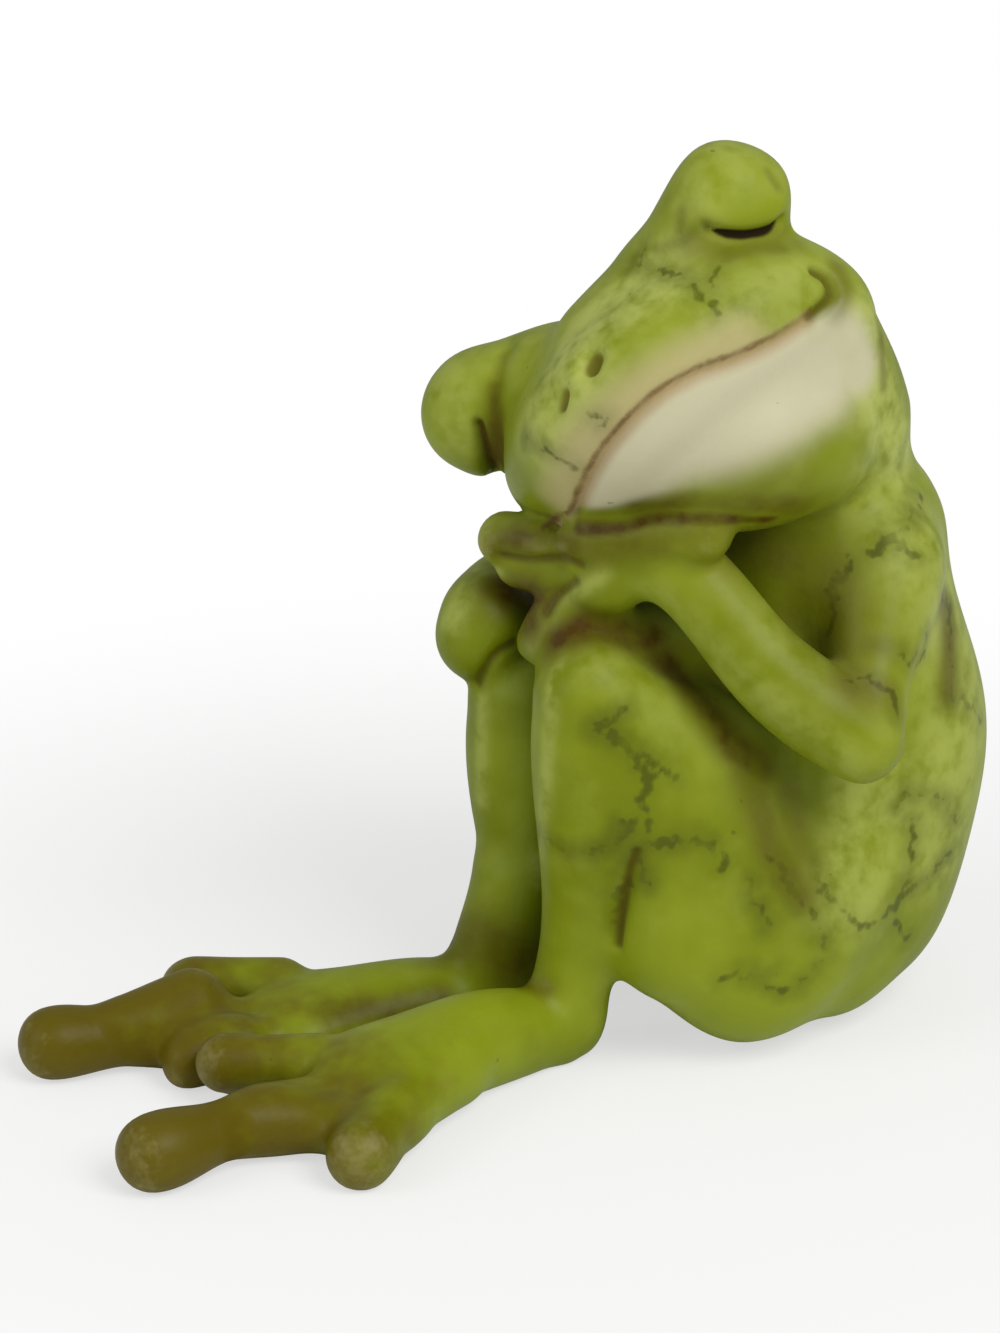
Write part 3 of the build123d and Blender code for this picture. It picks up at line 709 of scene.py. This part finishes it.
def casting(name, faces):
    """One casting's object from its quads, with its open edges turned in and closed below the skin."""
    used, local = np.unique(faces, return_inverse=True)
    local = local.reshape(-1, 4)
    count = len(used)
    sides = np.concatenate([local[:, [side, (side + 1) % 4]] for side in range(4)])
    rim = sides[~np.isin(sides[:, 0] * count + sides[:, 1], sides[:, 1] * count + sides[:, 0])]
    rim_points = np.unique(rim)
    turned_in = np.zeros(count, int)
    turned_in[rim_points] = count + np.arange(len(rim_points))
    walls = np.column_stack((rim[:, 1], rim[:, 0], turned_in[rim[:, 0]], turned_in[rim[:, 1]]))
    source = np.concatenate([used, used[rim_points]])
    points = skin[source]
    points[count:] -= SEAM_DEPTH * normals[source[count:]]
    mesh = quad_mesh(name + "_casting", points, np.concatenate([local, walls]))
    work = bmesh.new()
    work.from_mesh(mesh)
    open_edges = [edge for edge in work.edges if edge.is_boundary]
    caps = bmesh.ops.holes_fill(work, edges=open_edges, sides=0)["faces"]
    bmesh.ops.triangulate(work, faces=caps)
    work.to_mesh(mesh)
    work.free()
    mesh.shade_smooth()
    mesh.normals_split_custom_set_from_vertices(normals[source].tolist())
    for guide, values in guides.items():
        stored = mesh.attributes.new(guide, "FLOAT", "POINT")
        stored.data.foreach_set("value", values[source].astype(np.float32))
    piece = bpy.data.objects.new(name + "_casting", mesh)
    bpy.context.scene.collection.objects.link(piece)
    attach(piece, "root")
    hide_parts(name)
    return piece


castings = {name: casting(name, quads[owner == index]) for index, name in enumerate(names)}
print("quads in each casting:", {name: int((owner == i).sum()) for i, name in enumerate(names)})

# %% [markdown]
# ## The painted finish
# Cast resin, airbrushed green, with a brown wash and painted shade in the hollows and brown over the toes,
# painted highlights of light green, cream on the throat, and a satin lacquer over all. To the eye that gives
# soft clouds of colour with crisp lines over them, and broad, weak highlights. Pattern sizes are in
# millimetres, so veins and speckle have the width of a real brush.
# It could be one painted image, but nodes stay sharp from near by and need no unwrapping.

# %% Mix the paint
def linear(code):
    """A written sRGB colour as the linear values that a shader works with."""
    values = [int(code[i:i + 2], 16) / 255 for i in (1, 3, 5)]
    return tuple(v / 12.92 if v <= 0.04045 else ((v + 0.055) / 1.055) ** 2.4 for v in values) + (1.0,)


def node(tree, kind, inputs=(), **settings):
    """Add a shader node with its settings, and with values or links at its inputs."""
    made = tree.nodes.new("ShaderNode" + kind)
    for name, value in settings.items():
        setattr(made, name, value)
    for key, value in dict(inputs).items():
        if isinstance(value, bpy.types.NodeSocket):
            tree.links.new(value, made.inputs[key])
        else:
            made.inputs[key].default_value = value
    return made


def new_material(name):
    """An empty node material: its tree, its shader and its place in millimetres."""
    material = bpy.data.materials.new(name)
    material.use_nodes = True
    tree = material.node_tree
    shader = tree.nodes["Principled BSDF"]
    place = node(tree, "TexCoord").outputs["Object"]
    place = node(tree, "VectorMath", {0: place, "Scale": 1 / MM}, operation="SCALE").outputs[0]
    return material, tree, shader, place


def painted_resin():
    """Green airbrushed resin with brush veins, painted highlights, and a brown wash with painted shade under
    satin lacquer.
    """
    material, tree, shader, place = new_material("airbrushed_resin_satin_lacquer")
    guide = {name: node(tree, "Attribute", attribute_name=name).outputs["Fac"] for name in guides}

    def noise(size, detail):
        return node(tree, "TexNoise", {"Vector": place, "Scale": 1 / size, "Detail": detail}).outputs["Fac"]

    def over(factor, below, code):
        return node(tree, "Mix", {0: factor, 6: below, 7: linear(code)}, data_type="RGBA").outputs[2]

    def ramp(value, low, high, top=1.0, bottom=0.0):
        limits = {"Value": value, 1: low, 2: high, 3: bottom, 4: top}
        return node(tree, "MapRange", limits, interpolation_type="SMOOTHSTEP").outputs["Result"]

    def maths(operation, a, b):
        return node(tree, "Math", {0: a, 1: b}, operation=operation).outputs[0]

    def shaken(value, *shakes):
        for texture, amount in shakes:
            value = maths("ADD", value, maths("MULTIPLY", maths("SUBTRACT", texture, 0.5), amount))
        return value

    cloud, blotch, fuzz, grain = noise(26, 3), noise(8, 3), noise(3.2, 4), noise(0.9, 3)

    # Airbrushed ground: two greens in soft clouds, a lighter green as painted highlight, then cream on the
    # throat and a duller cream on the lip
    colour = over(ramp(cloud, 0.36, 0.66), linear("#748006"), "#88951A")
    colour = over(ramp(blotch, 0.5, 0.8, 0.2), colour, "#A3AC45")
    painted_highlight = maths("MULTIPLY", guide["light"], ramp(shaken(fuzz, (blotch, 1.0)), 0.1, 0.7))
    colour = over(painted_highlight, colour, "#B2BB5E")
    colour = over(maths("MULTIPLY", guide["lip"], 0.8), colour, "#B9AC7C")
    colour = over(ramp(shaken(guide["cream"], (blotch, 0.2)), 0.0, 0.95), colour, "#C4BF9E")

    # Brush veins: the brush wavers and runs dry, so its line is shaken and thins out in places
    line = shaken(guide["vein_away"], (blotch, 0.9), (fuzz, 1.4), (grain, 0.5))
    drawn = maths("MULTIPLY", ramp(line, 1.0, 0.1), ramp(noise(7, 3), 0.3, 0.6, 0.85, 0.3))
    halo = maths("MULTIPLY", ramp(line, 3.6, 0.2), ramp(noise(11, 2), 0.3, 0.7, 0.5, 0.1))
    wander = node(tree, "TexNoise", {"Vector": place, "Scale": 1 / 10, "Detail": 5}).outputs["Color"]
    bend = {0: wander, 1: (10, 10, 10), 2: place}
    bent = node(tree, "VectorMath", bend, operation="MULTIPLY_ADD").outputs[0]
    cells = node(tree, "TexVoronoi", {"Vector": bent, "Scale": 1 / 24}, feature="DISTANCE_TO_EDGE")
    dry = ramp(noise(19, 2), 0.42, 0.62, 0.7)
    free = maths("MULTIPLY", ramp(cells.outputs["Distance"], 0.036, 0.004), dry)
    veins = maths("MAXIMUM", maths("MAXIMUM", drawn, halo), maths("MULTIPLY", free, guide["free"]))
    bare = maths("SUBTRACT", 1.0, maths("MAXIMUM", guide["cream"], guide["toe"]))
    veins = maths("MULTIPLY", veins, bare)
    colour = over(veins, colour, "#4A5008")

    # Brown over the toes, then a wash with painted shade that stays in the hollows, and pale wear with
    # painted sheen on the ridges
    colour = over(ramp(shaken(guide["toe"], (blotch, 0.8), (fuzz, 0.4)), 0.1, 1.0, 0.92), colour, "#5E4E02")
    hollow_wash_and_shade = maths("SUBTRACT", guide["hollow"], maths("MULTIPLY", guide["cream"], 0.12))
    sunk = ramp(shaken(hollow_wash_and_shade, (fuzz, 0.14)), 0.08, 0.48, 0.85)
    patchy = node(tree, "MapRange", {"Value": shaken(fuzz, (blotch, 1.0)), 1: 0.2, 2: 0.8, 3: 0.65, 4: 1.15})
    misted_wash_and_shade = maths("MULTIPLY", guide["wash"], patchy.outputs["Result"])
    colour = over(maths("MAXIMUM", sunk, misted_wash_and_shade), colour, "#4A3602")
    # pale on the raised ridges: partly paint wear, partly painted sheen
    wear_and_sheen = ramp(shaken(guide["hollow"], (fuzz, -0.5), (grain, -0.25)), -0.36, -0.66, 0.22)
    colour = over(wear_and_sheen, colour, "#C6BE84")
    # The fold, crease and nostril tints are painted shade in those grooves and pits; the crease tint also
    # draws the right eye's lid line.
    for name, width, full, tint, top in (
        ("mouth_away", 2.3, 0.3, "#A48C62", 0.75),
        ("fold_away", 2.0, 0.0, "#56560E", 0.4),
        ("crease_away", 1.3, 0.1, "#4A3A06", 0.65),
        ("lid_away", 1.05, 0.45, "#241803", 1.0),
        ("nostril_away", 1.8, 0.7, "#757022", 0.85),
    ):
        colour = over(ramp(shaken(guide[name], (fuzz, 0.4)), width, full, top), colour, tint)
    edge = ramp(shaken(guide["lip_edge_away"], (fuzz, 0.7)), 0.7, 0.05)
    edge = maths("MULTIPLY", edge, ramp(noise(7, 3), 0.3, 0.6, 0.85, 0.25))
    colour = over(edge, colour, "#6B5228")
    speck = ramp(noise(2.2, 1), 0.78, 0.82, 0.4)
    colour = over(speck, colour, "#4A4210")

    # Satin lacquer: weak, broad highlights, and none in the hollows, where the wash dries matt
    tree.links.new(colour, shader.inputs["Base Color"])
    rough = node(tree, "MapRange", {"Value": fuzz, 3: 0.34, 4: 0.52}).outputs["Result"]
    rough = maths("MAXIMUM", rough, ramp(guide["hollow"], 0.02, 0.16, 0.9))
    tree.links.new(rough, shader.inputs["Roughness"])
    shader.inputs["Specular IOR Level"].default_value = 0.16
    height = shaken(grain, (fuzz, 1.5), (veins, -0.5))
    bump = node(tree, "Bump", {"Height": height, "Strength": 0.35, "Distance": 0.12 * MM})
    tree.links.new(bump.outputs[0], shader.inputs["Normal"])
    return material


paint = painted_resin()
for piece in castings.values():
    piece.data.materials.append(paint)
print("paint with", len(paint.node_tree.nodes), "nodes")

# %% [markdown]
# ## Felt, dowels and stopper
# Under the seat is a disc of pressed wool felt that keeps the shelf from scratches: matt, with a fleck of
# lighter fibres. It is turned from a rounded profile. The dowels stay as they are in the frame and get drawn
# steel, with a bright, slightly blurred mirror, and the stopper gets moulded rubber, dull and nearly black.

# %% Make the felt pad and finish the fittings
def felt_pad():
    """A felt disc with a soft rounded rim, as wide and thick as its solid."""
    low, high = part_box("seat_pad")
    radius, thickness = (high.x - low.x) / 2, high.z - low.z
    work = bmesh.new()
    profile = [(0, 0), (0.6, 0), (0.97, 0), (1, 0.3), (1, 0.7), (0.97, 1), (0.6, 1), (0, 1)]
    verts = [work.verts.new((radius * r, 0, thickness * h)) for r, h in profile]
    edges = [work.edges.new(pair) for pair in zip(verts, verts[1:])]
    bmesh.ops.spin(work, geom=verts + edges, cent=(0, 0, 0), axis=(0, 0, 1), angle=math.tau, steps=96,
                   use_merge=True)
    bmesh.ops.remove_doubles(work, verts=work.verts, dist=1e-6)
    bmesh.ops.recalc_face_normals(work, faces=work.faces)
    mesh = bpy.data.meshes.new("felt_pad")
    work.to_mesh(mesh)
    work.free()
    mesh.shade_smooth()
    pad = bpy.data.objects.new("felt_pad", mesh)
    bpy.context.scene.collection.objects.link(pad)
    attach(pad, "root")
    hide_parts("seat_pad")
    return pad


def fitting_material(name, dark, light, grain, roughness, metal):
    """A fitting's material: two tones in a fine grain, with the grain as a shallow bump."""
    material, tree, shader, place = new_material(name)
    speckle = node(tree, "TexNoise", {"Vector": place, "Scale": 1 / grain, "Detail": 5}).outputs[0]
    tone = node(tree, "Mix", {0: speckle, 6: linear(dark), 7: linear(light)}, data_type="RGBA").outputs[2]
    bump = node(tree, "Bump", {"Height": speckle, "Strength": 0.4, "Distance": 0.2 * grain * MM}).outputs[0]
    tree.links.new(tone, shader.inputs["Base Color"])
    tree.links.new(bump, shader.inputs["Normal"])
    shader.inputs["Roughness"].default_value = roughness
    shader.inputs["Metallic"].default_value = metal
    return material


felt_pad().data.materials.append(fitting_material("pressed_wool_felt", "#3E4A22", "#5E6B36", 0.7, 0.95, 0.0))
steel = fitting_material("drawn_dowel_steel", "#8E9092", "#B4B6B8", 0.5, 0.32, 1.0)
rubber = fitting_material("moulded_rubber", "#1E1D1B", "#2C2B28", 1.2, 0.7, 0.0)
for name, fitting in nodes.items():
    if name.endswith("_pin") or name == "base_plug":
        for slot in fitting.material_slots:
            slot.material = rubber if name == "base_plug" else steel
print("felt pad, dowels and stopper finished")

# %% [markdown]
# ## Studio
# The figure stands on a plain pale table in soft light from above and the left, as small ornaments are shown.
# The background is white for the camera alone, so it adds no light of its own.

# %% Set the table and the lamps
scene = bpy.context.scene
scene.view_settings.view_transform = "Standard"
bpy.ops.mesh.primitive_circle_add(vertices=128, radius=4.0, fill_type="NGON", location=(0, 0, 0))
floor = bpy.context.active_object
floor.name = "floor"
floor_paint = bpy.data.materials.new("pale_table")
floor_paint.use_nodes = True
floor.data.materials.append(floor_paint)
floor_shader = floor_paint.node_tree.nodes["Principled BSDF"]
floor_shader.inputs["Base Color"].default_value = linear("#F4F4F2")
floor_shader.inputs["Roughness"].default_value = 0.9
table = floor_paint.node_tree
from_middle = node(table, "VectorMath", {0: node(table, "TexCoord").outputs["Object"], 1: (0, -0.04, 0)},
                   operation="DISTANCE")
fade = node(table, "MapRange", {"Value": from_middle.outputs["Value"], 1: 0.08, 2: 0.24},
            interpolation_type="SMOOTHSTEP").outputs["Result"]
haze = node(table, "MapRange", {"Value": fade, 3: 0.6, 4: 1.0}).outputs["Result"]
camera_ray = node(table, "LightPath").outputs["Is Camera Ray"]
white = node(table, "Math", {0: haze, 1: camera_ray}, operation="MULTIPLY").outputs[0]
glow = node(table, "Emission", {"Color": (1, 1, 1, 1), "Strength": 1.0}).outputs[0]
mixed = node(table, "MixShader", {0: white, 1: floor_shader.outputs[0], 2: glow}).outputs[0]
table.links.new(mixed, table.nodes["Material Output"].inputs["Surface"])

world = bpy.data.worlds.new("studio")
scene.world = world
world.use_nodes = True
sky = world.node_tree
SKY_LIGHT = 0.40  # the strength that lights the figure; the camera sees white
camera_ray = node(sky, "LightPath").outputs["Is Camera Ray"]
strength = node(sky, "MapRange", {"Value": camera_ray, 3: SKY_LIGHT, 4: 1.0}).outputs[0]
sky.nodes["Background"].inputs["Color"].default_value = (1, 1, 1, 1)
sky.links.new(strength, sky.nodes["Background"].inputs["Strength"])


def lamp(name, place, size, watts):
    """A square soft lamp that looks at the middle of the figure; its place is in metres."""
    data = bpy.data.lights.new(name, "AREA")
    data.size = size
    data.energy = watts
    made = bpy.data.objects.new(name, data)
    made.location = place
    aim = Vector((0, -0.04, 0.07)) - Vector(place)
    made.rotation_euler = aim.to_track_quat("-Z", "Y").to_euler()
    scene.collection.objects.link(made)


lamp("key_softbox", (0.70, 0.15, 0.80), 0.6, 6.6)
lamp("left_softbox", (0.05, -0.90, 0.50), 0.5, 2)
